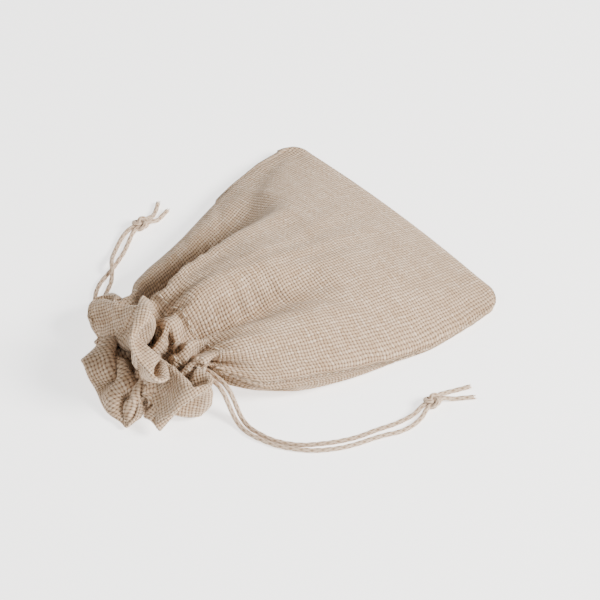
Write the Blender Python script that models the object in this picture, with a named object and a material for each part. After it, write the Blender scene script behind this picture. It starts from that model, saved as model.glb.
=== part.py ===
"""Drawstring gift pouch: two sewn cloth panels, a drawstring channel and two looped cords.

Metres, +Z up. The pouch lies on its back panel on z = 0. The closed (sewn) end points
along +X and the gathered mouth along -X. The origin is at the bottom centre of the cloth.
"""
import math

import bmesh
import bpy
from mathutils import Vector

MM = 0.001

# Cloth. The pouch is cut to 100 x 140 mm flat; these are its sizes as it lies, lightly filled.
CLOTH = 0.7 * MM                # thickness of one layer of the plain weave
GAP = 0.3 * MM                  # clearance kept between separate solids
NECK_X = -31.5 * MM             # middle of the drawstring channel
END_X = 63.5 * MM               # sewn end
MOUTH_X = -63.4 * MM            # folded mouth edge of the ruffle
SEAM_STEP = CLOTH + 0.5 * GAP   # from the seam surface to the outside of either panel

# Channel between the hem and the panel, wide enough for two cords side by side.
CORD = 1.5 * MM
CHANNEL_HALF = 4.2 * MM
CHANNEL_ROOM = CORD + 3.4 * GAP
HEM_DEPTH = 2.0 * CLOTH + GAP
CHANNEL_DEPTH = 2.0 * CLOTH + CHANNEL_ROOM
HEM_END_X = NECK_X + 7.3 * MM
STITCH_AT = 6.2 * MM            # stitching, to either side of the middle of the channel
CORD_OFFSET = 0.5 * (CORD + GAP)

# Cross-sections along the pouch, in mm: distance from the neck, right side (-Y), left side
# (+Y), height of the side seam, crown of the front panel, underside of the back panel,
# fullness of the section and size of its gathers.
SECTIONS = (
    (-31.5, -22.0, 31.5, 12.5, 26.0, 0.4, 3.0, 2.6),
    (-16.0, -18.0, 26.5, 11.5, 22.0, 1.2, 3.4, 1.8),
    (-5.0, -16.5, 22.5, 10.0, 19.5, 2.0, 4.0, 0.8),
    (5.0, -17.0, 23.0, 9.5, 19.5, 1.6, 4.0, 0.8),
    (15.0, -25.0, 28.5, 8.0, 22.0, 0.0, 3.0, 1.2),
    (35.0, -38.0, 37.0, 6.0, 23.5, 0.0, 2.4, 0.6),
    (65.0, -46.0, 45.0, 4.0, 18.0, 0.0, 2.2, 0.0),
    (85.0, -48.5, 48.3, 3.2, 9.0, 0.0, 2.2, 0.0),
    (95.0, -48.9, 48.9, 2.6, 3.45, 1.75, 2.2, 0.0),
)
RIGHT, LEFT, SEAM, CROWN, FLOOR, FULLNESS, GATHER = range(1, 8)
GATHERS_ACROSS = 4              # gathers of one panel at the neck
GATHERED_FLOOR = 1.6 * MM       # where the back is this far off the table, its gathers are full
END_BOW = 2.0 * MM              # the middle of the sewn end lies this much higher
UNDERSIDE_FLATNESS = 1.35       # how soon the back panel reaches the table

COLUMNS = 24
SLIT_COLUMNS = 3
BODY_X = tuple(v * MM for v in (63.5, 60.5, 56, 50, 42, 33, 23, 13, 3, -6, -14, -20, -24))
NECK_ROWS = tuple(NECK_X + v * MM for v in (5.6, 4.2, 0, -4.2, -5.8))
RUFFLE_X = tuple(v * MM for v in (-41, -46.5, -52, -57.5))

# Cords. Each strand's route, in mm, starts outside its slit and ends at the knot; the tails run on
# from the knot. On the left the back strand crosses over the front one.
SLIT_Z = 9.75 * MM
RIGHT_SLIT_Y = -17.0 * MM
LEFT_SLIT_Y = 22.8 * MM
THROAT_IN = 4.0 * MM            # throat strand inside the slit
THROAT_OUT = 2.4 * MM           # throat strand outside the slit
LIE = 0.77                      # height in mm of a cord's centre where it lies on the table
KNOT_LENGTH = 6.4 * MM
KNOT_WIDTH = 4.2 * MM
RIGHT_STRANDS = (
    (
        (-32.4, -20.3, 9.75), (-32.4, -22.8, 9.3), (-32.5, -25.2, 7.4), (-32.7, -27.6, 4.5),
        (-33.0, -30.2, 1.9), (-33.4, -33.4, LIE), (-33.4, -37.0, LIE), (-32.4, -41.4, LIE),
        (-29.8, -47.6, LIE), (-24.4, -54.6, LIE), (-18.0, -59.4, LIE), (-12.6, -62.0, LIE),
        (-7.3, -63.8, LIE), (-3.4, -65.3, LIE), (0.6, -67.2, LIE), (5.2, -68.0, LIE),
        (9.4, -67.6, 1.1), (12.4, -66.7, 1.9),
    ),
    (
        (-30.6, -20.3, 9.75), (-30.6, -23.2, 9.4), (-30.6, -25.8, 7.6), (-30.8, -28.2, 4.7),
        (-31.2, -30.8, 2.0), (-31.5, -34.2, LIE), (-31.3, -38.2, LIE), (-29.6, -44.4, LIE),
        (-25.4, -50.6, LIE), (-19.6, -55.2, LIE), (-14.4, -58.3, LIE), (-9.6, -60.4, LIE),
        (-4.0, -62.0, LIE), (2.1, -64.0, LIE), (8.0, -65.1, 1.1), (12.4, -64.9, 1.9),
    ),
)
LEFT_STRANDS = (
    (
        (-32.4, 26.1, 9.75), (-32.5, 28.6, 9.3), (-32.7, 30.8, 7.4), (-32.9, 33.0, 4.5),
        (-32.6, 35.4, 1.9), (-31.2, 38.2, LIE), (-28.4, 41.0, LIE), (-24.8, 43.2, LIE),
        (-20.8, 44.6, LIE), (-17.8, 45.6, LIE), (-14.9, 46.8, LIE), (-10.2, 49.0, LIE),
        (-6.2, 51.4, 1.0), (-2.4, 53.3, 1.9),
    ),
    (
        (-30.6, 26.1, 9.75), (-30.6, 29.0, 9.4), (-30.5, 31.6, 7.4), (-30.1, 33.8, 4.5),
        (-29.2, 35.8, 1.9), (-27.6, 37.6, LIE), (-25.2, 39.2, LIE), (-22.6, 40.8, 0.9),
        (-20.7, 42.4, 1.8), (-19.0, 44.4, 2.8), (-17.4, 46.5, 2.8), (-15.2, 48.8, 1.8),
        (-12.4, 51.0, 0.9), (-8.6, 53.4, LIE), (-5.2, 54.9, 1.1), (-2.4, 55.1, 1.9),
    ),
)
RIGHT_KNOT = (15.7, -65.8, 2.4)
LEFT_KNOT = (1.3, 54.2, 2.4)
RIGHT_TAILS = (
    ((19.2, -66.9, 1.9), (21.8, -68.4, 0.9), (24.2, -70.0, LIE), (27.0, -72.0, LIE)),
    ((19.2, -65.1, 2.0), (22.4, -65.4, 1.0), (25.6, -66.6, LIE), (29.0, -68.0, LIE)),
)
LEFT_TAILS = (
    ((4.8, 53.1, 1.9), (7.2, 53.0, 0.9), (9.8, 53.6, LIE), (12.6, 54.4, LIE)),
    ((4.8, 54.9, 2.0), (7.4, 55.5, 1.0), (10.0, 57.0, LIE), (12.6, 59.0, LIE)),
)

LINEN = (0.58, 0.46, 0.34, 1.0)
THREAD = (0.66, 0.55, 0.42, 1.0)
CORD_BEIGE = (0.55, 0.43, 0.31, 1.0)


def clear_scene():
    """Remove whatever objects the file opened with."""
    for old in list(bpy.data.objects):
        bpy.data.objects.remove(old, do_unlink=True)


def add_material(obj, colour, roughness):
    """Give an object its own Principled material."""
    material = bpy.data.materials.new(obj.name)
    material.use_nodes = True
    shader = material.node_tree.nodes["Principled BSDF"]
    shader.inputs["Base Color"].default_value = colour
    shader.inputs["Roughness"].default_value = roughness
    shader.inputs["Metallic"].default_value = 0.0
    obj.data.materials.append(material)


def add_mesh(name, points, faces, colour, roughness=0.9):
    """Make a mesh object from points and faces, with all its normals made consistent."""
    mesh = bpy.data.meshes.new(name)
    mesh.from_pydata([tuple(p) for p in points], [], faces)
    obj = bpy.data.objects.new(name, mesh)
    bpy.context.collection.objects.link(obj)
    add_material(obj, colour, roughness)
    mesh.shade_smooth()
    return obj


def smooth_lookup(x, column):
    """Read one column of SECTIONS at x, on a smooth curve through the listed stations."""
    at = (x - NECK_X) / MM
    keys = [row[0] for row in SECTIONS]
    values = [row[column] for row in SECTIONS]
    at = min(max(at, keys[0]), keys[-1])
    last = len(keys) - 2
    i = min(max(k for k in range(last + 1) if keys[k] <= at), last)

    def slope(k):
        low, high = max(k - 1, 0), min(k + 1, len(keys) - 1)
        return (values[high] - values[low]) / (keys[high] - keys[low])

    span = keys[i + 1] - keys[i]
    t = (at - keys[i]) / span
    ease_in = 2 * t ** 3 - 3 * t ** 2 + 1
    ease_out = 1 - ease_in
    lead = (t ** 3 - 2 * t ** 2 + t) * span * slope(i)
    trail = (t ** 3 - t ** 2) * span * slope(i + 1)
    return ease_in * values[i] + ease_out * values[i + 1] + lead + trail


def seam_height(x, u):
    """Height of the surface in which the two panels meet."""
    near_end = max(0.0, (x - NECK_X) / (END_X - NECK_X) - 0.6) / 0.4
    return smooth_lookup(x, SEAM) * MM + END_BOW * near_end ** 2 * (1.0 - u * u)


def outer_point(side, x, u):
    """Point on the outside of the cloth: side +1 is the front panel, -1 the back panel."""
    right, left = smooth_lookup(x, RIGHT) * MM, smooth_lookup(x, LEFT) * MM
    y = 0.5 * (right + left) + 0.5 * (left - right) * u
    seam = seam_height(x, u)
    full = 1.0 - abs(u) ** smooth_lookup(x, FULLNESS)
    gather = smooth_lookup(x, GATHER) * MM * (1.0 - u ** 8)
    wave = gather * math.cos(math.pi * (GATHERS_ACROSS * u + 0.35))
    if side > 0:
        crown = smooth_lookup(x, CROWN) * MM
        rise = max(0.0, crown - smooth_lookup(x, SEAM) * MM - SEAM_STEP)
        return Vector((x, y, seam + SEAM_STEP + rise * full + wave))
    floor = smooth_lookup(x, FLOOR) * MM
    drop = max(0.0, seam - SEAM_STEP - floor)
    depth = drop * (1.0 - max(0.0, 1.0 - UNDERSIDE_FLATNESS * full) ** 1.6)
    lifted = min(1.0, floor / GATHERED_FLOOR)
    return Vector((x, y, max(0.0, seam - SEAM_STEP - depth + 0.5 * wave * full * lifted)))


def inward(side, x, u):
    """Unit normal of the cloth, pointing into the pouch."""
    step = 0.01
    reach = 0.3 * MM
    u0, u1 = max(u - step, -1.0), min(u + step, 1.0)
    across = outer_point(side, x, u1) - outer_point(side, x, u0)
    along = outer_point(side, x + reach, u) - outer_point(side, x - reach, u)
    return across.cross(along).normalized() * side


def sunk_point(side, x, u, depth):
    """Point at a depth below the outside of the cloth, kept on its own side of the seam."""
    point = outer_point(side, x, u) + inward(side, x, u) * depth
    limit = seam_height(x, u) + side * 0.5 * GAP
    point.z = max(point.z, limit) if side > 0 else min(point.z, limit)
    return point


def across(column):
    """Place of a column across the panel, -1 to 1, with the columns closer at the sides."""
    t = 2.0 * column / COLUMNS - 1.0
    return t * (1.0 + 0.25 * (1.0 - t * t))


def panel_rows():
    """Rows of the cloth strip: down the outside to the mouth, over the fold, up the inside."""
    rows = [(x, 0.0) for x in BODY_X + NECK_ROWS + RUFFLE_X]
    rows += [(MOUTH_X + 0.6 * MM, 0.0), (MOUTH_X, 0.5 * HEM_DEPTH), (MOUTH_X + 0.6 * MM, HEM_DEPTH)]
    rows += [(x, HEM_DEPTH) for x in reversed(RUFFLE_X)]
    for x in reversed(NECK_ROWS):
        in_channel = abs(x - NECK_X) <= CHANNEL_HALF + 0.01 * MM
        rows.append((x, CHANNEL_DEPTH if in_channel else HEM_DEPTH))
    return rows + [(HEM_END_X, HEM_DEPTH)]


def in_slit(x_low, x_high, column):
    """Whether a face lies in the cord slit, where the side seam is left open."""
    beside = column < SLIT_COLUMNS or column >= COLUMNS - SLIT_COLUMNS
    low, high = NECK_X - CHANNEL_HALF, NECK_X + CHANNEL_HALF
    return beside and min(x_low, x_high) > low - 0.01 * MM and max(x_low, x_high) < high + 0.01 * MM


def build_panel(name, side):
    """One panel with its turned-in hem, as a single strip of cloth given its thickness."""
    rows = panel_rows()
    points = []
    for x, depth in rows:
        for column in range(COLUMNS + 1):
            u = across(column)
            points.append(sunk_point(side, x, u, depth) if depth else outer_point(side, x, u))
    faces = []
    width = COLUMNS + 1
    for r in range(len(rows) - 1):
        for column in range(COLUMNS):
            if in_slit(rows[r][0], rows[r + 1][0], column):
                continue
            a = r * width + column
            face = (a, a + 1, a + 1 + width, a + width)
            faces.append(face if side > 0 else face[::-1])
    obj = add_mesh(name, points, faces, LINEN)
    work = bmesh.new()
    work.from_mesh(obj.data)
    loose = [v for v in work.verts if not v.link_faces]
    bmesh.ops.delete(work, geom=loose, context="VERTS")
    work.to_mesh(obj.data)
    work.free()
    thicken = obj.modifiers.new("cloth", "SOLIDIFY")
    thicken.thickness = CLOTH
    thicken.offset = -1.0
    return obj


def smooth_path(points, spacing, lowest):
    """Evenly spaced points on a smooth curve through the route's own points."""
    route = [Vector(p) for p in points]
    ends = [2 * route[0] - route[1]] + route + [2 * route[-1] - route[-2]]
    fine = []
    for i in range(1, len(ends) - 2):
        for step in range(20):
            t = step / 20.0
            p0, p1, p2, p3 = ends[i - 1:i + 3]
            fine.append(0.5 * (2 * p1 + (p2 - p0) * t + (2 * p0 - 5 * p1 + 4 * p2 - p3) * t * t
                               + (3 * p1 - p0 - 3 * p2 + p3) * t ** 3))
    fine.append(route[-1])
    total = sum((b - a).length for a, b in zip(fine, fine[1:]))
    count = max(2, round(total / spacing))
    picked, walked, target = [fine[0]], 0.0, total / count
    for a, b in zip(fine, fine[1:]):
        length = (b - a).length
        while walked + length >= target * len(picked) and len(picked) < count:
            picked.append(a.lerp(b, (target * len(picked) - walked) / length))
        walked += length
    for place in picked:
        place.z = max(place.z, lowest)
    return picked + [fine[-1]]


def add_tube(name, points, diameter, colour, spacing=3.6 * MM, lowest=0.0):
    """Round tube with closed ends along a smooth path."""
    curve = bpy.data.curves.new(name, "CURVE")
    curve.dimensions = "3D"
    curve.bevel_depth = 0.5 * diameter
    curve.bevel_resolution = 2
    curve.use_fill_caps = True
    path = smooth_path(points, spacing, lowest)
    spline = curve.splines.new("POLY")
    spline.points.add(len(path) - 1)
    for knot, place in zip(spline.points, path):
        knot.co = (place.x, place.y, place.z, 1.0)
    obj = bpy.data.objects.new(name, curve)
    bpy.context.collection.objects.link(obj)
    add_material(obj, colour, 0.6)
    return obj


def build_cord_run(name, side, shift):
    """Stretch of a cord inside the channel, from slit to slit."""
    limit = abs(across(SLIT_COLUMNS)) - 0.07
    depth = CLOTH + 0.5 * CHANNEL_ROOM
    points = []
    for i in range(15):
        u = limit * (2.0 * i / 14 - 1.0)
        points.append(sunk_point(side, NECK_X + shift, u, depth))
    return add_tube(name, points, CORD, CORD_BEIGE, 2.2 * MM)


def build_throat(hand, slit_y, outward):
    """The two strands of one cord where they pass out through the slit."""
    for name, shift in (("front", -CORD_OFFSET), ("back", CORD_OFFSET)):
        inner = (NECK_X + shift, slit_y - outward * THROAT_IN, SLIT_Z)
        outer = (NECK_X + shift, slit_y + outward * THROAT_OUT, SLIT_Z)
        add_tube(f"{hand}_throat_{name}_strand", (inner, outer), CORD, CORD_BEIGE)


def build_knot(name, centre):
    """Outer shape of the overhand knot that joins a cord's two ends."""
    work = bmesh.new()
    bmesh.ops.create_uvsphere(work, u_segments=14, v_segments=9, radius=0.5)
    for vert in work.verts:
        waist = 1.0 - 0.12 * math.cos(2.0 * math.pi * vert.co.z)
        vert.co = Vector((vert.co.z * KNOT_LENGTH, vert.co.x * KNOT_WIDTH * waist,
                          vert.co.y * KNOT_WIDTH * waist))
    mesh = bpy.data.meshes.new(name)
    work.to_mesh(mesh)
    work.free()
    mesh.shade_smooth()
    obj = bpy.data.objects.new(name, mesh)
    obj.location = Vector(centre) * MM
    bpy.context.collection.objects.link(obj)
    add_material(obj, CORD_BEIGE, 0.6)
    return obj


def build_free_cord(hand, strands, knot, tails):
    """The two strands, the knot and the two tails that lie outside the pouch on one side."""
    for name, strand, tail in zip(("front", "back"), strands, tails):
        for node, route in ((f"{hand}_cord_{name}_strand", strand), (f"{hand}_{name}_tail", tail)):
            points = [Vector(p) * MM for p in route]
            add_tube(node, points, CORD, CORD_BEIGE, lowest=LIE * MM)
    build_knot(f"{hand}_knot", knot)


def build_stitch_row(name, side, x):
    """Line of channel stitching across a panel, lying just clear of the cloth."""
    thread, reach, stations = 0.5 * MM, 0.86, 25
    points = []
    for i in range(stations):
        u = reach * (2.0 * i / (stations - 1) - 1.0)
        points.append(outer_point(side, x, u) - inward(side, x, u) * (1.6 * GAP + 0.5 * thread))
    return add_tube(name, points, thread, THREAD, 1.9 * MM)


def build_side_seam(name, outward):
    """Bound seam edge turned to the inside along one side."""
    inset, thick = 4.5 * MM, 1.0 * MM
    points = []
    for i in range(12):
        x = NECK_X + (14.0 + 62.0 * i / 11) * MM
        edge = smooth_lookup(x, LEFT if outward > 0 else RIGHT) * MM
        points.append((x, edge - outward * inset, seam_height(x, 0.9) + 0.1 * MM))
    return add_tube(name, points, thick, THREAD, 6.0 * MM)


def build_bottom_seam():
    """Bound seam edge turned to the inside across the sewn end."""
    x = END_X - 9.0 * MM
    points = [(x, 3.9 * MM * k, seam_height(x, 0.08 * k) + 0.2 * MM) for k in range(-8, 9)]
    return add_tube("bottom_seam", points, 1.0 * MM, THREAD, 6.0 * MM)


def build_pouch():
    """All sub-parts of the pouch."""
    for name, side in (("front", 1), ("back", -1)):
        build_panel(f"{name}_panel", side)
        build_stitch_row(f"{name}_upper_stitches", side, NECK_X - STITCH_AT)
        build_stitch_row(f"{name}_lower_stitches", side, NECK_X + STITCH_AT)
        build_cord_run(f"right_cord_{name}_run", side, -CORD_OFFSET)
        build_cord_run(f"left_cord_{name}_run", side, CORD_OFFSET)
    build_side_seam("right_side_seam", -1)
    build_side_seam("left_side_seam", 1)
    build_bottom_seam()
    build_throat("right", RIGHT_SLIT_Y, -1)
    build_throat("left", LEFT_SLIT_Y, 1)
    build_free_cord("right", RIGHT_STRANDS, RIGHT_KNOT, RIGHT_TAILS)
    build_free_cord("left", LEFT_STRANDS, LEFT_KNOT, LEFT_TAILS)


clear_scene()
build_pouch()
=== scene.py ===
"""Looks of a linen drawstring gift pouch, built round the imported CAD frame.

The cloth is one tube, simulated as it is gathered by its cords. Its body is then drawn towards
a guide shape, and the tube is cut at the side seams into a front and a back piece, each with a
turned-in hem. Sizes are in millimetres, times MM.
"""
import math

import bpy
import numpy as np
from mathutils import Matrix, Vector


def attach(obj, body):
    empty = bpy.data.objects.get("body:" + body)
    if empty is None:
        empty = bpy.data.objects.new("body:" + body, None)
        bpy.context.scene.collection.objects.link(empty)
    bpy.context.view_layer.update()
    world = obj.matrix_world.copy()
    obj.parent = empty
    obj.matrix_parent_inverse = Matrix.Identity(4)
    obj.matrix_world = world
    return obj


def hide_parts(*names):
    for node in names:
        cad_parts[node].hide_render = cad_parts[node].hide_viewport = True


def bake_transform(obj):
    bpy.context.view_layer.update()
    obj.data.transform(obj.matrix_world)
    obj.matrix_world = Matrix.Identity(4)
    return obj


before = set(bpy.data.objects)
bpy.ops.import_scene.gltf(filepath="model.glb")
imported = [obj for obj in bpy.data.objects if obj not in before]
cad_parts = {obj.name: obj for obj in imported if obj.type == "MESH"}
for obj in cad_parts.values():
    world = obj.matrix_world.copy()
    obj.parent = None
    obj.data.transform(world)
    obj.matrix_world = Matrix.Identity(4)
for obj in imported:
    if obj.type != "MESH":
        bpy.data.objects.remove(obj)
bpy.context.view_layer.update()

MM = 0.001

# ---------------------------------------------------------------- camera
VIEW_TARGET = (17.1, -4.7, 0.0)
VIEW_AZIMUTH = -42.557
VIEW_ELEVATION = 44.668
VIEW_DISTANCE = 900.0
VIEW_WIDTH = 189.4              # width of the view at the target

# ---------------------------------------------------------------- cords
CORD = 1.5                      # diameter
CORD_PITCH = 3.2                # of the cord's plait
SLIT_Z = 9.75
LIE = 0.77                      # height of a cord's centre where it lies on the table
THROAT_IN = 4.0                 # how far inside its slit a strand's path begins
KNOT_RADIUS = 1.35              # of the ring that the overhand knot winds round
KNOT_TUBE = 0.85                # of the winding round that ring
CORDS = {
    "right": {
        "slit": (-31.5, -17.0),
        "outward": -1.0,
        "pivot": (-31.5, -20.3),
        "knot": (15.7, -65.8, 2.3),
        "strands": {
            "front": (
                (-32.4, -20.3, 9.75), (-32.4, -22.8, 9.3), (-32.5, -25.2, 7.4),
                (-32.7, -27.6, 4.5), (-33.0, -30.2, 1.9), (-33.4, -33.4, LIE),
                (-33.4, -37.0, LIE), (-32.4, -41.4, LIE), (-29.8, -47.6, LIE),
                (-24.4, -54.6, LIE), (-18.0, -59.4, LIE), (-12.6, -62.0, LIE),
                (-7.3, -63.8, LIE), (-3.4, -65.3, LIE), (0.6, -67.2, LIE),
                (5.2, -68.0, LIE), (9.4, -67.6, 1.1), (12.4, -66.7, 1.9),
            ),
            "back": (
                (-30.6, -20.3, 9.75), (-30.6, -23.2, 9.4), (-30.6, -25.8, 7.6),
                (-30.8, -28.2, 4.7), (-31.2, -30.8, 2.0), (-31.5, -34.2, LIE),
                (-31.3, -38.2, LIE), (-29.6, -44.4, LIE), (-25.4, -50.6, LIE),
                (-19.6, -55.2, LIE), (-14.4, -58.3, LIE), (-9.6, -60.4, LIE),
                (-4.0, -62.0, LIE), (2.1, -64.0, LIE), (8.0, -65.1, 1.1),
                (12.4, -64.9, 1.9),
            ),
        },
        "tails": {
            "front": ((19.2, -66.9, 1.9), (21.8, -68.4, 0.9), (24.2, -70.0, LIE), (27.0, -72.0, LIE)),
            "back": ((19.2, -65.1, 2.0), (22.4, -65.4, 1.0), (25.6, -66.6, LIE), (29.0, -68.0, LIE)),
        },
    },
    "left": {
        "slit": (-31.5, 22.8),
        "outward": 1.0,
        "pivot": (-31.5, 26.1),
        "knot": (1.3, 54.2, 2.3),
        "strands": {
            "front": (
                (-32.4, 26.1, 9.75), (-32.5, 28.6, 9.3), (-32.7, 30.8, 7.4),
                (-32.9, 33.0, 4.5), (-32.6, 35.4, 1.9), (-31.2, 38.2, LIE),
                (-28.4, 41.0, LIE), (-24.8, 43.2, LIE), (-20.8, 44.6, LIE),
                (-17.8, 45.6, LIE), (-14.9, 46.8, LIE), (-10.2, 49.0, LIE),
                (-6.2, 51.4, 1.0), (-2.4, 53.3, 1.9),
            ),
            "back": (
                (-30.6, 26.1, 9.75), (-30.6, 29.0, 9.4), (-30.5, 31.6, 7.4),
                (-30.1, 33.8, 4.5), (-29.2, 35.8, 1.9), (-27.6, 37.6, LIE),
                (-25.2, 39.2, LIE), (-22.6, 40.8, 0.9), (-20.7, 42.4, 1.8),
                (-19.0, 44.4, 2.8), (-17.4, 46.5, 2.8), (-15.2, 48.8, 1.8),
                (-12.4, 51.0, 0.9), (-8.6, 53.4, LIE), (-5.2, 54.9, 1.1),
                (-2.4, 55.1, 1.9),
            ),
        },
        "tails": {
            "front": ((4.8, 53.1, 1.9), (7.2, 53.0, 0.9), (9.8, 53.6, LIE), (12.6, 54.4, LIE)),
            "back": ((4.8, 54.9, 2.0), (7.4, 55.5, 1.0), (10.0, 57.0, LIE), (12.6, 59.0, LIE)),
        },
    },
}

# ---------------------------------------------------------------- cloth
NECK_X = -31.5                  # middle of the drawstring channel
END_X = 63.5                    # sewn end
AROUND = 200.0                  # round the tube, twice the flat width
HALF_AROUND = 0.5 * AROUND
FLAT_LENGTH = 140.0             # from the sewn end to the folded mouth edge
TO_CHANNEL = 104.0              # from the sewn end to the middle of the channel, flat
BODY_LENGTH = END_X - NECK_X    # the same distance once the pouch is filled and gathered
CORNER_RADIUS = 7.0             # of the sewn end's two corners
HEM = 42.0                      # depth of the turned-in hem, from the mouth to the channel
CLOTH = 0.6
RIPPLES = 13                    # gathers round the neck
COLUMNS = 120                   # of the simulated grid
STEP = AROUND / COLUMNS
ROWS = round(FLAT_LENGTH / STEP)
ROW_STEP = FLAT_LENGTH / ROWS
SIM_SCALE = 10.0                # cloth is simulated ten times larger, where its units behave
FRAMES = 44

# The neck is an oval ring of gathers.
RING_CENTRE = (2.9, 10.6)
RING_HALF = (19.6, 8.9)
RIPPLE_HEIGHT = 3.3
RIPPLE_INSET = 1.9
# Gathers that go deeper than the rest: place round the tube, half-width, depth.
DEEP_GATHERS = ((79, 7.0, 5.0), (34, 6.0, 3.0))

# Loops of the ruffle: place round the tube, then the point that the cloth is guided to.
RUFFLE_MIDDLE = (
    (0, -44, -13.5, 9), (19, -39, -9.5, 13), (33, -42.5, -10.5, 21), (47, -41, -2, 25),
    (61, -36.5, 4.5, 26), (72, -31.5, 9, 21.5), (89, -35.5, 13, 11.5), (98, -35, 20.5, 8),
    (107, -34.5, 22.5, 5.5), (118, -38, 18.5, 3.5), (131, -43.5, 13, 4), (145, -44, 3.5, 2.8),
    (155, -45, -4.5, 2.4), (165, -43.5, -9, 2.8), (177, -39, -9.5, 5), (191, -44, -12.5, 5),
)
RUFFLE_EDGE = (
    (0, -52, -19.5, 5), (19, -42, -7, 12), (33, -50.5, -15.5, 18.5), (47, -48, -3.5, 24),
    (61, -38.6, 4.7, 27.5), (72, -32, 9, 21), (89, -41, 13.5, 8.5), (98, -39.6, 21.5, 7.5),
    (107, -39, 23.5, 4), (118, -45.5, 17.5, 3.2), (131, -54.5, 12.5, 8.5), (145, -53.6, 4.2, 3.4),
    (155, -54.5, -4.5, 3), (165, -54.5, -12.5, 2.8), (177, -45, -7.5, 5), (191, -54, -15.5, 3.4),
)
# Outline of the body in plan: distance from the neck, right side, left side.
OUTLINE = (
    (0, -17.5, 23.0), (3, -23.5, 26.5), (8.7, -28.5, 30), (17, -33, 32.5), (26, -36.8, 34.5),
    (33.5, -40.3, 36.5), (50, -46.6, 42), (63, -49.6, 46), (77, -51, 48.9), (95, -50.4, 49.2),
)
# Height of the side seams: distance from the neck, right seam, left seam.
SEAM_HEIGHTS = ((0, 9.5, 9.5), (30, 5.6, 7.0), (60, 1.9, 5.0), (95, 1.5, 3.2))
CROWN_HEIGHTS = ((0, 20.5), (15, 24.5), (35, 26.0), (60, 21.0), (80, 12.5), (95, 5.4))
# Folds that run out from the neck: height, reach, place across at the neck and at the end,
# width at the neck and at the end.
FOLDS = (
    (-25.0, 64, 0.56, 0.60, 0.17, 0.20), (11.0, 62, 0.30, 0.34, 0.08, 0.10),
    (-13.0, 48, -0.28, -0.42, 0.12, 0.17), (5.0, 52, -0.02, 0.02, 0.2, 0.3),
    (3.0, 50, -0.66, -0.66, 0.12, 0.18),
)
SIDE_BULGE = {"right": 0.42, "left": 0.16}      # the back panel swells past the side seams

# How strongly the cloth is held to its guide, from 0 to 1.
BODY_HOLD = 0.7                 # in the simulation, at the neck's end of the body
END_HOLD = 0.3                  # share of that hold which is left near the sewn end
RUFFLE_HOLD = 0.4               # in the simulation, at the mouth edge
FRONT_SHARE = 0.6               # after the simulation, on the front of the body
SEAM_REACH = 7.0                # width beside a side seam that is drawn to the guide with it
CONTACT_GAP = 0.004             # between cloth and table, in metres at the simulation's scale


def look_from(azimuth, elevation):
    """Unit vector from the target to a camera at that azimuth and elevation, in degrees."""
    turn, lift = math.radians(azimuth), math.radians(elevation)
    return Vector((math.sin(turn) * math.cos(lift), -math.cos(turn) * math.cos(lift), math.sin(lift)))


def build_camera():
    target = Vector(VIEW_TARGET) * MM
    direction = look_from(VIEW_AZIMUTH, VIEW_ELEVATION)
    data = bpy.data.cameras.new("camera")
    data.lens = data.sensor_width * VIEW_DISTANCE / VIEW_WIDTH
    camera = bpy.data.objects.new("camera", data)
    camera.location = target + direction * (VIEW_DISTANCE * MM)
    camera.rotation_euler = direction.to_track_quat("Z", "Y").to_euler()
    bpy.context.collection.objects.link(camera)
    bpy.context.scene.camera = camera


# ---------------------------------------------------------------- meshes
def smooth_route(points, spacing):
    """Evenly spaced points, as an array, on a Catmull-Rom curve through the route's points."""
    route = np.array(points, float)
    ends = np.vstack((2 * route[0] - route[1], route, 2 * route[-1] - route[-2]))
    fine = []
    for i in range(1, len(ends) - 2):
        p0, p1, p2, p3 = ends[i - 1:i + 3]
        for t in np.arange(24) / 24.0:
            fine.append(0.5 * (2 * p1 + (p2 - p0) * t + (2 * p0 - 5 * p1 + 4 * p2 - p3) * t * t
                               + (3 * p1 - p0 - 3 * p2 + p3) * t ** 3))
    fine = np.array(fine + [route[-1]])
    return evenly(fine, spacing)


def evenly(points, spacing):
    """The same line with its points an even distance apart."""
    walked = np.concatenate(([0.0], np.cumsum(np.linalg.norm(np.diff(points, axis=0), axis=1))))
    count = max(2, round(walked[-1] / spacing))
    marks = np.linspace(0.0, walked[-1], count + 1)
    return np.stack([np.interp(marks, walked, points[:, k]) for k in range(3)], axis=1)


def carried_frames(line):
    """Tangent and two sideways directions at each point, carried along without twisting."""
    tangents = np.gradient(line, axis=0)
    tangents /= np.linalg.norm(tangents, axis=1)[:, None]
    side = np.cross(tangents[0], (0.0, 0.0, 1.0))
    if np.linalg.norm(side) < 0.1:
        side = np.cross(tangents[0], (1.0, 0.0, 0.0))
    sides = []
    for tangent in tangents:
        side = side - tangent * side.dot(tangent)
        side /= np.linalg.norm(side)
        sides.append(side)
    sides = np.array(sides)
    return tangents, sides, np.cross(tangents, sides)


def mesh_object(name, points, faces, uvs=None):
    """Mesh from points in mm; uvs, one for each point, are in mm too."""
    mesh = bpy.data.meshes.new(name)
    mesh.from_pydata((np.asarray(points) * MM).tolist(), [], faces)
    if uvs is not None:
        layer = mesh.uv_layers.new(name="Cloth")
        corners = np.empty(len(mesh.loops), int)
        mesh.loops.foreach_get("vertex_index", corners)
        layer.data.foreach_set("uv", np.asarray(uvs)[corners].astype(np.float32).ravel())
    mesh.shade_smooth()
    obj = bpy.data.objects.new(name, mesh)
    bpy.context.collection.objects.link(obj)
    return obj


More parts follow.
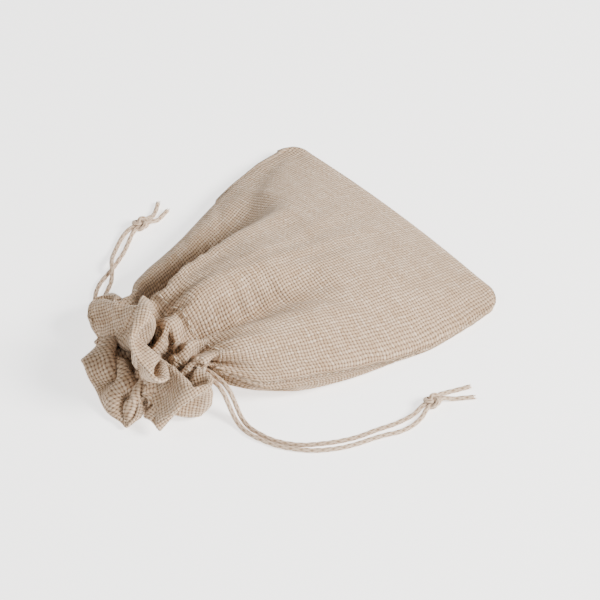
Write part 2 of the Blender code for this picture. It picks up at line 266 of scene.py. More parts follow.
def tube_parts(line, radius_at, sides=20, closed=False):
    """Points, faces and uvs of a tube; radius_at(angle, distance) gives its relief."""
    _, across, up = carried_frames(line)
    count = len(line)
    walked = np.concatenate(([0.0], np.cumsum(np.linalg.norm(np.diff(line, axis=0), axis=1))))
    angles = 2 * math.pi * np.arange(sides) / sides
    points, uvs, faces = [], [], []
    for k in range(count):
        radius = radius_at(angles, walked[k])
        ring = (np.outer(np.cos(angles) * radius, across[k])
                + np.outer(np.sin(angles) * radius, up[k]) + line[k])
        points.append(ring)
        uvs.append(np.stack((angles, np.full(sides, walked[k])), axis=1))
    points, uvs = np.vstack(points), np.vstack(uvs)
    for k in range(count if closed else count - 1):
        here, there = k * sides, ((k + 1) % count) * sides
        for j in range(sides):
            ahead = (j + 1) % sides
            faces.append((here + j, here + ahead, there + ahead, there + j))
    if not closed:
        faces.append(tuple(reversed(range(sides))))
        faces.append(tuple((count - 1) * sides + j for j in range(sides)))
    return points, faces, uvs


def plaited(diameter, depth=0.10, pitch=CORD_PITCH, plaits=4):
    """Relief of a plaited cord: two families of ribs wound in opposite directions."""
    def radius_at(angles, distance):
        turn = 2 * math.pi * distance / pitch
        one = np.cos(plaits * angles + turn)
        two = np.cos(plaits * angles - turn)
        return 0.5 * diameter * (1.0 - depth + depth * np.maximum(one, two))
    return radius_at


# ---------------------------------------------------------------- free cords
def strand_route(cord, which):
    """Points of one strand, from inside its slit through its knot to the end of its tail."""
    strand, tail = cord["strands"][which], cord["tails"][which]
    x = strand[0][0]
    inside = cord["slit"][1] - cord["outward"] * THROAT_IN
    knot = np.array(cord["knot"])
    beside = 0.32 * (np.array(tail[0]) - knot) + 0.32 * (np.array(strand[-1]) - knot)
    return ((x, inside, SLIT_Z), (x, cord["slit"][1], SLIT_Z)) + strand + (tuple(knot + beside),) + tail


def build_strand(hand, which, material):
    cord = CORDS[hand]
    line = smooth_route(strand_route(cord, which), 0.16)
    points, faces, uvs = tube_parts(line, plaited(CORD), sides=24)
    obj = mesh_object(f"{hand}_{which}_strand", points, faces, uvs)
    obj.data.materials.append(material)
    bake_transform(obj)
    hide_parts(f"{hand}_throat_{which}_strand", f"{hand}_cord_{which}_strand",
                f"{hand}_{which}_tail")
    return obj, line


def build_knot(hand, material):
    """Overhand knot of the two strands: a trefoil of the same cord, pulled tight."""
    cord = CORDS[hand]
    centre = np.array(cord["knot"])
    heading = np.array(cord["tails"]["back"][0]) - np.array(cord["strands"]["back"][-1])
    heading[2] = 0.0
    heading /= np.linalg.norm(heading)
    sideways = np.array((-heading[1], heading[0], 0.0))
    line = []
    for step in range(240):
        turn = 2 * math.pi * step / 240
        radius = KNOT_RADIUS + KNOT_TUBE * math.cos(3 * turn)
        line.append(centre + heading * 1.12 * radius * math.cos(2 * turn)
                    + sideways * radius * math.sin(2 * turn)
                    + np.array((0.0, 0.0, KNOT_TUBE * math.sin(3 * turn))))
    points, faces, uvs = tube_parts(np.array(line), plaited(CORD), sides=20, closed=True)
    obj = mesh_object(f"{hand}_overhand_knot", points, faces, uvs)
    obj.data.materials.append(material)
    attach(obj, f"{hand}_cord")
    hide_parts(f"{hand}_knot")
    return obj


def build_frayed_ends(hand, lines, material):
    """Short loose fibres at the cut ends of the two tails."""
    random = np.random.default_rng(7 if hand == "right" else 11)
    points, faces = [], []
    for line in lines:
        tip, ahead = line[-1], line[-1] - line[-4]
        ahead /= np.linalg.norm(ahead)
        side = np.cross(ahead, (0.0, 0.0, 1.0))
        up = np.cross(side, ahead)
        for fibre in range(26):
            angle, out = random.uniform(0, 2 * math.pi), 0.58 * math.sqrt(random.uniform(0.05, 1.0))
            root = tip - ahead * 0.3 + (side * math.cos(angle) + up * math.sin(angle)) * out
            spread = (side * math.cos(angle) + up * math.sin(angle)) * out * random.uniform(0.1, 0.9)
            length = random.uniform(0.5, 1.3)
            middle = root + ahead * length * 0.6 + spread * 0.3
            end = root + ahead * length + spread
            end[2] = max(end[2], 0.12)
            part, ring, _ = tube_parts(np.array((root, middle, end)),
                                       lambda angles, distance: np.full(len(angles), 0.07), sides=5)
            faces += [tuple(v + len(points) for v in face) for face in ring]
            points += part.tolist()
    obj = mesh_object(f"{hand}_frayed_ends", points, faces)
    obj.data.materials.append(material)
    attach(obj, f"{hand}_cord")
    return obj


def build_cords(material):
    """Both cords: each has two strands, which leave one slit and end in one knot."""
    for hand in CORDS:
        strands = [build_strand(hand, which, material) for which in ("front", "back")]
        knot = build_knot(hand, material)
        ends = build_frayed_ends(hand, [line for _, line in strands], material)


# ---------------------------------------------------------------- the shape the cloth is guided to
def near(value, centre, width):
    """1 at the centre, falling smoothly to nothing over about twice the width."""
    return math.exp(-((value - centre) / width) ** 2)


def end_distance(u, s):
    """Distance from the line of the sewn end, which curves back at its rounded corners."""
    beyond = max(0.0, 50.0 * abs(u) - (50.0 - CORNER_RADIUS))
    setback = CORNER_RADIUS - math.sqrt(max(0.0, CORNER_RADIUS ** 2 - beyond ** 2))
    return setback + s * (1 - setback / FLAT_LENGTH)


def end_point(u):
    """Point of the sewn end, whose middle bows out and lies a little higher than its corners."""
    bow = 1 - u * u
    return np.array((END_X - end_distance(u, 0.0) + 1.2 * bow, 49.3 * u, 2.4 + 0.9 * u + 1.6 * bow))


def place_across(q):
    """From -1 at the right seam to 1 at the left seam, and whether q is on the front."""
    front = q <= HALF_AROUND
    u = -1.0 + q / 50.0 if front else 1.0 - (q - HALF_AROUND) / 50.0
    return u, front


def look_up(table, place, column=1):
    return float(np.interp(place, [row[0] for row in table], [row[column] for row in table]))


def neck_ring(q):
    """Point of the gathered channel: an oval with gathers that fade at the side seams."""
    t = (q % AROUND) / AROUND
    turn = math.pi - 2 * math.pi * t
    c, s = math.cos(turn), math.sin(turn)
    y = RING_CENTRE[0] + RING_HALF[0] * math.copysign(abs(c) ** 0.9, c)
    z = RING_CENTRE[1] + RING_HALF[1] * math.copysign(abs(s) ** 0.9, s)
    out = np.array((c / RING_HALF[0], s / RING_HALF[1]))
    out /= np.linalg.norm(out)
    uneven = 0.6 * math.sin(6 * math.pi * t) + 0.4 * math.sin(10 * math.pi * t + 1)
    wave = RIPPLE_HEIGHT * min(1.0, abs(s) * 3.0) * math.cos(2 * math.pi * RIPPLES * t + uneven)
    wave *= (0.85 + 0.25 * math.sin(4 * math.pi * t + 0.7))
    wave -= RIPPLE_INSET + sum(depth * near(q % AROUND, at, width) for at, width, depth in DEEP_GATHERS)
    return np.array((NECK_X, y + out[0] * wave, max(1.2, z + out[1] * wave)))


def loop_point(loop, q):
    """Point on a closed Catmull-Rom curve through the loop's points."""
    q %= AROUND
    count = len(loop)
    k = max(i for i in range(count) if loop[i][0] <= q)
    rows = [loop[(k + step) % count] for step in (-1, 0, 1, 2)]
    begin = rows[1][0]
    end = rows[2][0] if rows[2][0] > begin else rows[2][0] + AROUND
    t = (q - begin) / (end - begin)
    p0, p1, p2, p3 = (np.array(row[1:], float) for row in rows)
    return 0.5 * (2 * p1 + (p2 - p0) * t + (2 * p0 - 5 * p1 + 4 * p2 - p3) * t * t
                  + (3 * p1 - p0 - 3 * p2 + p3) * t ** 3)


def fold_height(x, u):
    """Sum of the folds at distance x from the neck and place u across."""
    height = 0.0
    for size, reach, u0, u1, width0, width1 in FOLDS:
        t = x / reach
        if t < 1.0:
            centre, width = u0 + (u1 - u0) * t, width0 + (width1 - width0) * t
            shape = math.exp(-((u - centre) / width) ** 2)
            height += size * (1 - t) ** 0.8 * shape * min(1.0, (x + 10) / 16)
    return height


def body_point(q, s):
    u, front = place_across(q)
    behind = end_distance(u, s)
    x = BODY_LENGTH - behind + (TO_CHANNEL - BODY_LENGTH) * (behind / TO_CHANNEL) ** 2
    right, left = look_up(OUTLINE, x, 1), look_up(OUTLINE, x, 2)
    y = 0.5 * (right + left) + 0.5 * (left - right) * u
    right_height, left_height = look_up(SEAM_HEIGHTS, x, 1), look_up(SEAM_HEIGHTS, x, 2)
    seam = 0.5 * (right_height + left_height) + 0.5 * (left_height - right_height) * u
    seam += 2.0 * (1 - u * u) * max(0.0, (x - 50) / 45) ** 2
    bulge = 1 - abs(u) ** 2.3
    if front:
        z = seam + max(0.0, look_up(CROWN_HEIGHTS, x) - seam) * bulge + fold_height(x, u)
    else:
        z = seam - (seam - 0.8) * min(1.0, 1.5 * bulge) * min(1.0, max(0.0, (95 - x) / 7))
        swell = SIDE_BULGE["right" if u < 0 else "left"] * max(0.0, 1 - x / 75)
        beyond = math.sin(math.pi * min(1.0, (1 - abs(u)) / 0.4))
        y += 0.5 * (left - right) * math.copysign(swell * beyond, u)
    near_neck = max(0.0, 1 - x / 11) ** 2
    ring = neck_ring(q) + np.array((x, 0.0, 0.0))
    return np.array((NECK_X + x, y, z)) * (1 - near_neck) + ring * near_neck


def ruffle_point(q, s):
    """Quadratic from the neck ring through the ruffle's middle to its edge."""
    w = (s - TO_CHANNEL) / (FLAT_LENGTH - TO_CHANNEL)
    return (neck_ring(q) * 2 * (w - 0.5) * (w - 1) - loop_point(RUFFLE_MIDDLE, q) * 4 * w * (w - 1)
            + loop_point(RUFFLE_EDGE, q) * 2 * w * (w - 0.5))


def guide_point(q, s):
    return ruffle_point(q, s) if s >= TO_CHANNEL else body_point(q, s)


def flat_point(q, s):
    """The pouch before it is gathered: lying flat, slightly open so that its layers are apart."""
    u, front = place_across(q)
    open_by = (1 - u * u) * min(1.0, s / 25)
    return np.array((END_X - end_distance(u, s), 49.0 * u, 2.6 + (5.0 if front else -2.2) * open_by
                     + 2 * min(1.0, s / TO_CHANNEL)))


# ---------------------------------------------------------------- simulation
def grid_index(row, column):
    """Number of a grid point. The sewn end's front and back points are the same points."""
    column %= COLUMNS
    if row == 0:
        return min(column, COLUMNS - column)
    return COLUMNS // 2 + 1 + (row - 1) * COLUMNS + column


def grid_points(shape):
    points = np.zeros((grid_index(ROWS, COLUMNS - 1) + 1, 3))
    for row in range(ROWS + 1):
        for column in range(COLUMNS):
            if row or column <= COLUMNS // 2:
                points[grid_index(row, column)] = shape(column * STEP, row * ROW_STEP)
    return points


def grid_faces():
    faces = []
    for row in range(ROWS):
        for column in range(COLUMNS):
            corners = [grid_index(row, column), grid_index(row, column + 1),
                       grid_index(row + 1, column + 1), grid_index(row + 1, column)]
            if len(set(corners)) == 4:
                faces.append(corners)
    return faces


def hold_cloth(obj, guide):
    """Pin weights: firm at the channel and the sewn end, loose guidance elsewhere."""
    pins = obj.vertex_groups.new(name="pins")
    channel_row = round(TO_CHANNEL / ROW_STEP)
    for row in range(ROWS + 1):
        s = row * ROW_STEP
        if row == 0 or abs(row - channel_row) <= 1:
            weight = 1.0
        elif s < 99:
            weight = BODY_HOLD * (END_HOLD + (1 - END_HOLD) * min(1.0, max(0.0, (s - 25) / 30)))
        else:
            weight = RUFFLE_HOLD * max(0.0, (s - TO_CHANNEL) / (FLAT_LENGTH - TO_CHANNEL)) ** 1.5
        for column in range(COLUMNS):
            if weight > 0:
                pins.add([grid_index(row, column)], weight, "REPLACE")
            if row and weight == 1.0:
                ring = neck_ring(column * STEP)
                guide[grid_index(row, column)] = ring - (((row - channel_row) * ROW_STEP), 0, 0)
    for column in range(COLUMNS // 2 + 1):
        guide[grid_index(0, column)] = end_point(place_across(column * STEP)[0])
    air = obj.vertex_groups.new(name="air")
    for row in range(1, ROWS + 1):
        weight = min(1.0, max(0.0, (95 - row * ROW_STEP) / 30))
        if weight > 0:
            air.add([grid_index(row, column) for column in range(COLUMNS)], weight, "REPLACE")


def set_cloth(obj):
    cloth = obj.modifiers.new("cloth", "CLOTH")
    settings, contact = cloth.settings, cloth.collision_settings
    settings.quality = 6
    settings.mass = 0.15
    settings.tension_stiffness = 60.0
    settings.compression_stiffness = 20.0
    settings.shear_stiffness = 8.0
    settings.bending_stiffness = 60.0
    settings.tension_damping = 10.0
    settings.compression_damping = 10.0
    settings.bending_damping = 1.0
    settings.air_damping = 2.0
    settings.vertex_group_mass = "pins"
    settings.use_pressure = True
    settings.uniform_pressure_force = 1.5
    settings.vertex_group_pressure = "air"
    contact.use_collision = True
    contact.distance_min = CONTACT_GAP
    contact.collision_quality = 3
    contact.use_self_collision = True
    contact.self_distance_min = 0.007
    cloth.point_cache.frame_start = 1
    cloth.point_cache.frame_end = FRAMES


def build_table_top():
    """Surface that the cloth comes to rest on during the simulation."""
    far = 5.0
    mesh = bpy.data.meshes.new("table_top")
    mesh.from_pydata([(-far, -far, 0), (far, -far, 0), (far, far, 0), (-far, far, 0)], [], [(0, 1, 2, 3)])
    obj = bpy.data.objects.new("table_top", mesh)
    bpy.context.collection.objects.link(obj)
    obj.modifiers.new("collision", "COLLISION")
    obj.collision.thickness_outer = CONTACT_GAP
    obj.collision.cloth_friction = 15.0
    return obj


def simulated_points():
    """Gather the flat pouch on its cords, let it settle, and return its grid points in mm."""
    guide = grid_points(guide_point)
    scale = MM * SIM_SCALE
    mesh = bpy.data.meshes.new("gathering")
    mesh.from_pydata((grid_points(flat_point) * scale).tolist(), [], grid_faces())
    obj = bpy.data.objects.new("gathering", mesh)
    bpy.context.collection.objects.link(obj)
    hold_cloth(obj, guide)
    obj.shape_key_add(name="Basis")
    gathered = obj.shape_key_add(name="gathered")
    gathered.data.foreach_set("co", (guide * scale).ravel())
    for value, at in ((0.0, 1), (1.0, int(FRAMES * 0.6))):
        gathered.value = value
        gathered.keyframe_insert("value", frame=at)
    set_cloth(obj)
    table_top = build_table_top()
    scene = bpy.context.scene
    for at in range(1, FRAMES + 1):
        scene.frame_set(at)
    result = obj.evaluated_get(bpy.context.evaluated_depsgraph_get()).to_mesh()
    points = np.empty(len(result.vertices) * 3)
    result.vertices.foreach_get("co", points)
    for helper in (obj, table_top):
        bpy.data.objects.remove(helper)
    scene.frame_set(1)
    return draw_to_guide(points.reshape(-1, 3) / scale, guide)


def draw_to_guide(points, guide):
    """Move the body's seams onto the guide, and its front part of the way there."""
    for row in range(1, ROWS + 1):
        s = row * ROW_STEP
        fade = min(1.0, max(0.0, (TO_CHANNEL - 4 - s) / 10))
        for column in range(COLUMNS):
            index, q = grid_index(row, column), column * STEP
            front = FRONT_SHARE if q <= HALF_AROUND else 0.0
            share = fade * max(near(from_seam(q), 0.0, SEAM_REACH), front)
            points[index] += share * (guide[index] - points[index])
    return points


def halve_steps(grid, axis, closed):
    """Insert a point midway between neighbours on a smooth curve through them."""
    grid = np.moveaxis(grid, axis, 0)
    if closed:
        before, after, last = np.roll(grid, 1, 0), np.roll(grid, -1, 0), np.roll(grid, -2, 0)
        middle = (9 * (grid + after) - before - last) / 16
        out = np.stack((grid, middle), axis=1).reshape(-1, *grid.shape[1:])
    else:
        padded = np.concatenate((2 * grid[:1] - grid[1:2], grid, 2 * grid[-1:] - grid[-2:-1]))
        middle = (9 * (padded[1:-2] + padded[2:-1]) - padded[:-3] - padded[3:]) / 16
        out = np.empty((2 * len(grid) - 1, *grid.shape[1:]))
        out[0::2], out[1::2] = grid, middle
    return np.moveaxis(out, 0, axis)


def cloth_grid():
    """Points of the gathered tube, rows along it and columns round it."""
    points = simulated_points()
    grid = np.array([[points[grid_index(row, column)] for column in range(COLUMNS)]
                     for row in range(ROWS + 1)])
    grid = halve_steps(halve_steps(grid, 0, False), 1, True)
    for _ in range(2):
        middle = 0.5 * grid[1:-1] + 0.125 * (grid[:-2] + grid[2:]
                                             + np.roll(grid, 1, 1)[1:-1] + np.roll(grid, -1, 1)[1:-1])
        grid[1:-1] = middle
    grid[..., 2] = np.maximum(grid[..., 2], 0.15)
    return grid


def grid_normals(grid):
    along = np.gradient(grid, axis=0)
    round_it = np.roll(grid, -1, 1) - np.roll(grid, 1, 1)
    out = np.cross(round_it, along)
    out /= np.maximum(np.linalg.norm(out, axis=2), 1e-9)[..., None]
    return out


# ---------------------------------------------------------------- cloth pieces
FINE = 2                        # the simulated grid is refined this many times each way
SLIT_LENGTH = 3.0               # half-length of the opening left in each side seam
SEAM_DEPTH = -0.12              # seam stitches lie this deep between the panels
HEM_GAP = 1.4                   # from the outside of the cloth to the inside of its hem
STITCH_AT = 6.2                 # from the middle of the channel to each row of its stitching
CORD_SHIFT = 0.95               # from the middle of the channel to each cord in it
FINE_THREAD = 0.14              # radius of the seams' stitches
FOLD_STEPS = (30, 60, 90, 120, 150)


def from_seam(q):
    """Distance round the tube to the nearest side seam."""
    return min(q % HALF_AROUND, HALF_AROUND - q % HALF_AROUND)


def shape_surface(grid, normals):
    """Draw the side seams in, open the slits and let the cords swell the channel."""
    step_q, step_s = STEP / FINE, ROW_STEP / FINE
    shaped = grid.copy()
    for row in range(len(grid)):
        s = row * step_s
        slit = near(s, TO_CHANNEL, SLIT_LENGTH)
        for column in range(grid.shape[1]):
            q = column * step_q
            seam = near(from_seam(q), 0.0, 1.2)
            shaped[row, column] += normals[row, column] * (0.75 * near(s, TO_CHANNEL, 2.6)
                                                           - 0.45 * seam * (1 - slit))
    return shaped


def open_slit(point, q, s, front):
    """The two panels part where the cords leave the channel."""
    lift = near(s, TO_CHANNEL, SLIT_LENGTH) * near(from_seam(q), 0.0, 2.6)
    return point + np.array((0.0, 0.0, 1.0 if front else -1.7)) * lift


def build_panel(side, grid, normals, material):
    """One panel: its outside, the rounded mouth edge and the turned-in hem, as one strip."""
    front = side == "front"
    half = COLUMNS * FINE // 2
    columns = list(range(half + 1)) if front else [c % (2 * half) for c in range(half, 2 * half + 1)]
    places = [c * STEP / FINE for c in (range(half + 1) if front else range(half, 2 * half + 1))]
    last = len(grid) - 1
    step_s = ROW_STEP / FINE
    rows, marks = [], []
    for row in range(last + 1):
        s = row * step_s
        rows.append([open_slit(grid[row, c], q, s, front) for c, q in zip(columns, places)])
        marks.append(s)
    ahead = grid[last] - grid[last - 1]
    ahead /= np.linalg.norm(ahead, axis=1)[:, None]
    for turn in FOLD_STEPS:
        angle = math.radians(turn)
        rows.append([grid[last, c] + normals[last, c] * (math.cos(angle) - 1) * 0.5 * HEM_GAP
                     + ahead[c] * math.sin(angle) * 0.5 * HEM_GAP for c in columns])
        marks.append(FLAT_LENGTH + angle * 0.5 * HEM_GAP)
    hem_start = FLAT_LENGTH + math.pi * 0.5 * HEM_GAP
    for row in range(last, int((FLAT_LENGTH - HEM) / step_s) - 1, -1):
        s = row * step_s
        depth = HEM_GAP + 1.3 * near(s, TO_CHANNEL, 2.6)
        rows.append([open_slit(grid[row, c] - normals[row, c] * depth, q, s, front)
                     for c, q in zip(columns, places)])
        marks.append(hem_start + FLAT_LENGTH - s)
    width = len(columns)
    points = np.array(rows).reshape(-1, 3)
    points[:, 2] = np.maximum(points[:, 2], 0.15)
    uvs = [(q, end_distance(place_across(q)[0], mark)) for mark in marks for q in places]
    faces = [(r * width + c, r * width + c + 1, (r + 1) * width + c + 1, (r + 1) * width + c)
             for r in range(len(rows) - 1) for c in range(width - 1)]
    obj = mesh_object(f"{side}_cloth", points, faces, uvs)
    obj.data.materials.append(material)
    thicken(obj)
    follow_lift(obj)
    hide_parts(f"{side}_panel")
    return obj


def thicken(obj):
    """Give a sheet its thickness, inwards, and keep the result."""
    solidify = obj.modifiers.new("thickness", "SOLIDIFY")
    solidify.thickness = CLOTH * MM
    solidify.offset = -1.0
    bpy.context.view_layer.update()
    evaluated = obj.evaluated_get(bpy.context.evaluated_depsgraph_get())
    solid = bpy.data.meshes.new_from_object(evaluated)
    obj.modifiers.clear()
    obj.data = solid
    low = np.empty(len(solid.vertices) * 3)
    solid.vertices.foreach_get("co", low)
    low = low.reshape(-1, 3)
    low[:, 2] = np.maximum(low[:, 2], 0.05 * MM)
    solid.vertices.foreach_set("co", low.ravel())
    solid.shade_smooth()


def follow_lift(obj):
    """Bake the object's placement into its mesh."""
    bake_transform(obj)


# ---------------------------------------------------------------- stitching
def surface_point(grid, normals, q, s, height):
    """Point that far outside the cloth, read between the grid's points."""
    row = min(max(s / (ROW_STEP / FINE), 0.0), len(grid) - 1.001)
    column = (q % AROUND) / (STEP / FINE)
    r, c = int(row), int(column)
    down, right = row - r, column - c
    ahead = (c + 1) % grid.shape[1]
    total = np.zeros(3)
    for i, j, share in ((r, c, (1 - down) * (1 - right)), (r, ahead, (1 - down) * right),
                        (r + 1, c, down * (1 - right)), (r + 1, ahead, down * right)):
        total += share * (grid[i, j % grid.shape[1]] + normals[i, j % grid.shape[1]] * height)
    return total


def build_stitches(name, node, routes, grid, normals, material, proud=0.0, radius=0.2):
    """Separate stitches along a seam; each route gives the start and end of every stitch."""
    points, faces = [], []
    for (q0, s0), (q1, s1) in routes:
        line = []
        for t, height in ((0.0, -0.25), (0.2, 0.0), (0.5, 0.08), (0.8, 0.0), (1.0, -0.25)):
            place = (q0 + (q1 - q0) * t, s0 + (s1 - s0) * t)
            line.append(surface_point(grid, normals, *place, height + proud))
        part, part_faces, _ = tube_parts(np.array(line),
                                         lambda angles, distance: np.full(len(angles), radius), sides=7)
        faces += [tuple(v + len(points) for v in face) for face in part_faces]
        points += part.tolist()
    obj = mesh_object(name, points, faces)
    obj.data.materials.append(material)
    follow_lift(obj)
    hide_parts(node)
    return obj


def stitch_channel(grid, normals, material):
    """Two rows of stitching on each panel, which close the channel above and below."""
    for side, begin in (("front", 0.0), ("back", HALF_AROUND)):
        for row, s in (("upper", TO_CHANNEL + STITCH_AT), ("lower", TO_CHANNEL - STITCH_AT)):
            starts = begin + np.arange(4.0, 95.0, 3.1)
            routes = [((q, s), (q + 2.1, s)) for q in starts]
            node = f"{side}_{row}_stitches"
            build_stitches(f"{side}_{row}_stitching", node, routes, grid, normals, material)


def stitch_seams(grid, normals, material):
    for hand, q in (("right", 0.0), ("left", HALF_AROUND)):
        starts = [s for s in np.arange(3.0, 136.0, 2.6) if abs(s - TO_CHANNEL) > 7.5]
        routes = [((q, s), (q, s + 1.6)) for s in starts]
        build_stitches(f"{hand}_seam_stitching", f"{hand}_side_seam", routes, grid, normals, material,
                       SEAM_DEPTH, FINE_THREAD)
    routes = [((q, 0.4), (q + 1.6, 0.4)) for q in np.arange(2.0, 97.0, 2.6)]
    build_stitches("sewn_end_stitching", "bottom_seam", routes, grid, normals, material,
                   SEAM_DEPTH, FINE_THREAD)


def build_channel_cords(grid, normals, material):
    """Each cord runs all the way round inside the channel."""
    for hand, shift in (("right", -CORD_SHIFT), ("left", CORD_SHIFT)):
        line = [surface_point(grid, normals, q, TO_CHANNEL + shift, -1.3)
                for q in np.arange(0.0, AROUND, STEP / FINE)]
        points, faces, uvs = tube_parts(np.array(line), plaited(CORD - 0.1), sides=12, closed=True)
        points[:, 2] = np.maximum(points[:, 2], 0.1)
        obj = mesh_object(f"{hand}_cord_in_channel", points, faces, uvs)
        obj.data.materials.append(material)
        follow_lift(obj)
        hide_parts(f"{hand}_cord_front_run", f"{hand}_cord_back_run")


def build_cloth(linen, thread, cord):
    grid = cloth_grid()
    normals = grid_normals(grid)
    grid = shape_surface(grid, normals)
    front = build_panel("front", grid, normals, linen)
    back = build_panel("back", grid, normals, linen)
    stitch_channel(grid, normals, thread)
    stitch_seams(grid, normals, thread)
    build_channel_cords(grid, normals, cord)


# ---------------------------------------------------------------- materials
YARN = 1.05                     # pitch of the plain weave
YARN_RISE = 0.45                # how far a yarn rises over a crossing, as a share of its height
TONE_STEP = 3.7                 # step through the tone noise from one yarn to the next
TONE_STRETCH = 0.13             # how slowly the tone changes along a yarn


def new_material(name, roughness):
    material = bpy.data.materials.new(name)
    material.use_nodes = True
    shader = material.node_tree.nodes["Principled BSDF"]
    shader.inputs["Roughness"].default_value = roughness
    return material, material.node_tree, shader


def math_node(tree, operation, *values):
    """Output of one Math node; each value is a number or another node's output."""
    node = tree.nodes.new("ShaderNodeMath")
    node.operation = operation
    for socket, value in zip(node.inputs, values):
        if isinstance(value, (int, float)):
            socket.default_value = value
        else:
            tree.links.new(value, socket)
    return node.outputs[0]


def mix_numbers(tree, share, first, second):
    """first where share is 0 and second where it is 1."""
    return math_node(tree, "MULTIPLY_ADD", share, math_node(tree, "SUBTRACT", second, first), first)


def mix_colours(tree, share, first, second, blend="MIX"):
    node = tree.nodes.new("ShaderNodeMix")
    node.data_type = "RGBA"
    node.blend_type = blend
    for socket, value in zip((node.inputs["Factor"], node.inputs[6], node.inputs[7]),
                             (share, first, second)):
        if isinstance(value, (int, float, tuple)):
            socket.default_value = value
        else:
            tree.links.new(value, socket)
    return node.outputs[2]


def noise_at(tree, x, y, scale, detail=2.0):
    """Smooth noise from 0 to 1 at the place (x, y)."""
    place = tree.nodes.new("ShaderNodeCombineXYZ")
    for socket, value in zip(place.inputs, (x, y)):
        tree.links.new(value, socket)
    noise = tree.nodes.new("ShaderNodeTexNoise")
    noise.inputs["Scale"].default_value = scale
    noise.inputs["Detail"].default_value = detail
    tree.links.new(place.outputs[0], noise.inputs["Vector"])
    return noise.outputs[0]


def uv_parts(tree):
    uv = tree.nodes.new("ShaderNodeUVMap")
    uv.uv_map = "Cloth"
    parts = tree.nodes.new("ShaderNodeSeparateXYZ")
    tree.links.new(uv.outputs[0], parts.inputs[0])
    return parts.outputs[0], parts.outputs[1]


def colour_ramp(tree, share, stops):
    ramp = tree.nodes.new("ShaderNodeValToRGB")
    elements = ramp.color_ramp.elements
    while len(elements) < len(stops):
        elements.new(0.5)
    for element, (place, colour) in zip(elements, stops):
        element.position = place
        element.color = colour
    tree.links.new(share, ramp.inputs[0])
    return ramp.outputs[0]


def add_bump(tree, shader, height, distance):
    bump = tree.nodes.new("ShaderNodeBump")
    bump.inputs["Distance"].default_value = distance * MM
    tree.links.new(height, bump.inputs["Height"])
    tree.links.new(bump.outputs[0], shader.inputs["Normal"])


def yarn_profile(tree, place):
    """Number of the yarn at that place, and how round it is there, from 0 between yarns to 1."""
    number = math_node(tree, "FLOOR", place)
    share = math_node(tree, "FRACT", place)
    return number, math_node(tree, "SINE", math_node(tree, "MULTIPLY", share, math.pi))


def linen_material():
    """Plain weave of uneven yarns, each passing over one crossing yarn and under the next, with painted shade
    in the gaps between them.
    """
    material, tree, shader = new_material("linen", 0.88)
    shader.inputs["Sheen Weight"].default_value = 0.25
    shader.inputs["Sheen Roughness"].default_value = 0.45
    shader.inputs["Sheen Tint"].default_value = (1.0, 0.93, 0.84, 1.0)
    shader.inputs["Specular IOR Level"].default_value = 0.25
    q, s = uv_parts(tree)
    wander = math_node(tree, "SUBTRACT", noise_at(tree, q, s, 0.16), 0.5)
    sway = math_node(tree, "SUBTRACT", noise_at(tree, s, q, 0.13), 0.5)
    across = math_node(tree, "MULTIPLY_ADD", wander, 1.3, math_node(tree, "DIVIDE", q, YARN))
    along = math_node(tree, "MULTIPLY_ADD", sway, 1.3, math_node(tree, "DIVIDE", s, YARN))
    warp, warp_round = yarn_profile(tree, across)
    weft, weft_round = yarn_profile(tree, along)
    parity = math_node(tree, "FLOORED_MODULO", math_node(tree, "ADD", warp, weft), 2.0)
    rise = math_node(tree, "MULTIPLY_ADD", parity, -2.0 * YARN_RISE, YARN_RISE)
    warp_height = math_node(tree, "MULTIPLY_ADD", weft_round, rise, math_node(tree, "POWER", warp_round, 0.6))
    fall = math_node(tree, "MULTIPLY", rise, -1.0)
    weft_height = math_node(tree, "MULTIPLY_ADD", warp_round, fall, math_node(tree, "POWER", weft_round, 0.6))
    on_top = math_node(tree, "GREATER_THAN", weft_height, warp_height)
    pillow = math_node(tree, "DIVIDE", math_node(tree, "MAXIMUM", warp_height, weft_height), 1.0 + YARN_RISE)
    warp_step = math_node(tree, "MULTIPLY", warp, TONE_STEP)
    along_slow = math_node(tree, "MULTIPLY", along, TONE_STRETCH)
    across_slow = math_node(tree, "MULTIPLY", across, TONE_STRETCH)
    weft_step = math_node(tree, "MULTIPLY", weft, TONE_STEP)
    warp_tone = noise_at(tree, warp_step, along_slow, 1.0)
    weft_tone = noise_at(tree, across_slow, weft_step, 1.0)
    tone = mix_numbers(tree, on_top, warp_tone, weft_tone)
    fibre = noise_at(tree, across, along, 5.5, 3.0)
    shade = math_node(tree, "MULTIPLY_ADD", math_node(tree, "SUBTRACT", fibre, 0.5), 0.35, tone)
    yarn = colour_ramp(tree, shade, ((0.25, (0.46, 0.315, 0.19, 1)), (0.5, (0.60, 0.44, 0.30, 1)),
                                     (0.75, (0.76, 0.60, 0.45, 1))))
    # Painted shade: the gaps between the yarns are darkened towards a deep brown, standing in for the shade
    # that falls into the weave's holes.
    painted_gap_shade = math_node(tree, "POWER", math_node(tree, "SUBTRACT", 1.0, pillow), 1.25)
    yarn_with_painted_gap_shade = mix_colours(tree, math_node(tree, "MULTIPLY", painted_gap_shade, 1.6), yarn, (0.17, 0.09, 0.045, 1))
    tree.links.new(yarn_with_painted_gap_shade, shader.inputs["Base Color"])
    height = math_node(tree, "MULTIPLY_ADD", tone, 0.35, pillow)
    height = math_node(tree, "MULTIPLY_ADD", fibre, 0.35, height)
    add_bump(tree, shader, height, 0.48)
    return material


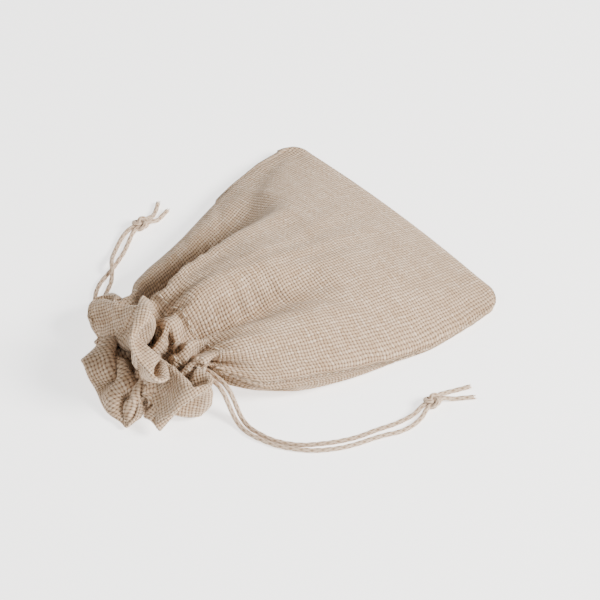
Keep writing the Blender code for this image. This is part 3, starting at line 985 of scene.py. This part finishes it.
def cord_material():
    """Slightly glossy plaited cord: painted shade between its ribs, with fine fibres along them."""
    material, tree, shader = new_material("cord", 0.5)
    shader.inputs["Sheen Weight"].default_value = 0.2
    shader.inputs["Specular IOR Level"].default_value = 0.45
    angle, distance = uv_parts(tree)
    turn = math_node(tree, "MULTIPLY", distance, 2 * math.pi / CORD_PITCH)
    plait = math_node(tree, "MULTIPLY", angle, 4.0)
    one = math_node(tree, "COSINE", math_node(tree, "ADD", plait, turn))
    two = math_node(tree, "COSINE", math_node(tree, "SUBTRACT", plait, turn))
    # Painted shade: the colour darkens in the grooves between the plait's ribs, where shade falls.
    painted_rib_shade = math_node(tree, "MULTIPLY_ADD", math_node(tree, "MAXIMUM", one, two), 0.5, 0.5)
    fine = math_node(tree, "SINE", math_node(tree, "MULTIPLY", math_node(tree, "ADD", plait, turn), 6.0))
    tone = math_node(tree, "MULTIPLY_ADD", noise_at(tree, plait, distance, 1.7), 0.3,
                     math_node(tree, "MULTIPLY_ADD", fine, 0.06, math_node(tree, "MULTIPLY", painted_rib_shade, 0.75)))
    colour = colour_ramp(tree, tone, ((0.1, (0.22, 0.13, 0.075, 1)), (0.5, (0.48, 0.33, 0.215, 1)),
                                      (0.95, (0.71, 0.55, 0.41, 1))))
    tree.links.new(colour, shader.inputs["Base Color"])
    add_bump(tree, shader, fine, 0.03)
    return material


def thread_material():
    """Sewing thread, a little lighter than the cloth, with a fine twist."""
    material, tree, shader = new_material("thread", 0.6)
    place = tree.nodes.new("ShaderNodeTexCoord")
    wave = tree.nodes.new("ShaderNodeTexWave")
    wave.bands_direction = "DIAGONAL"
    wave.inputs["Scale"].default_value = 700.0
    tree.links.new(place.outputs["Object"], wave.inputs["Vector"])
    colour = colour_ramp(tree, wave.outputs[1], ((0.0, (0.56, 0.44, 0.32, 1)), (1.0, (0.76, 0.65, 0.51, 1))))
    tree.links.new(colour, shader.inputs["Base Color"])
    add_bump(tree, shader, wave.outputs[1], 0.04)
    return material


def floor_material():
    material, _, shader = new_material("pale_floor", 0.9)
    shader.inputs["Base Color"].default_value = (0.9, 0.9, 0.895, 1.0)
    shader.inputs["Emission Color"].default_value = (1.0, 1.0, 1.0, 1.0)
    shader.inputs["Emission Strength"].default_value = 1.7
    return material


# ---------------------------------------------------------------- studio
def build_floor():
    reach = 3000.0
    corners = [(-reach, -reach, 0), (reach, -reach, 0), (reach, reach, 0), (-reach, reach, 0)]
    floor = mesh_object("floor", corners, [(0, 1, 2, 3)])
    floor.data.materials.append(floor_material())


def add_light(name, place, size, power, colour):
    """Square area light that shines at the pouch."""
    data = bpy.data.lights.new(name, "AREA")
    data.size = size
    data.energy = power
    data.color = colour
    light = bpy.data.objects.new(name, data)
    light.location = place
    light.rotation_euler = Vector(place).to_track_quat("Z", "Y").to_euler()
    bpy.context.collection.objects.link(light)


def build_studio():
    world = bpy.data.worlds.new("studio")
    world.use_nodes = True
    background = world.node_tree.nodes["Background"]
    background.inputs["Color"].default_value = (1.0, 0.99, 0.975, 1.0)
    background.inputs["Strength"].default_value = 0.45
    bpy.context.scene.world = world
    add_light("key", (0.5, -0.85, 0.72), 0.4, 38.0, (1.0, 0.965, 0.92))
    add_light("side", (-0.75, 0.65, 0.75), 0.5, 6.0, (1.0, 0.98, 0.96))


def build_scene():
    build_camera()
    cord = cord_material()
    build_cords(cord)
    build_cloth(linen_material(), thread_material(), cord)
    build_floor()
    build_studio()


build_scene()
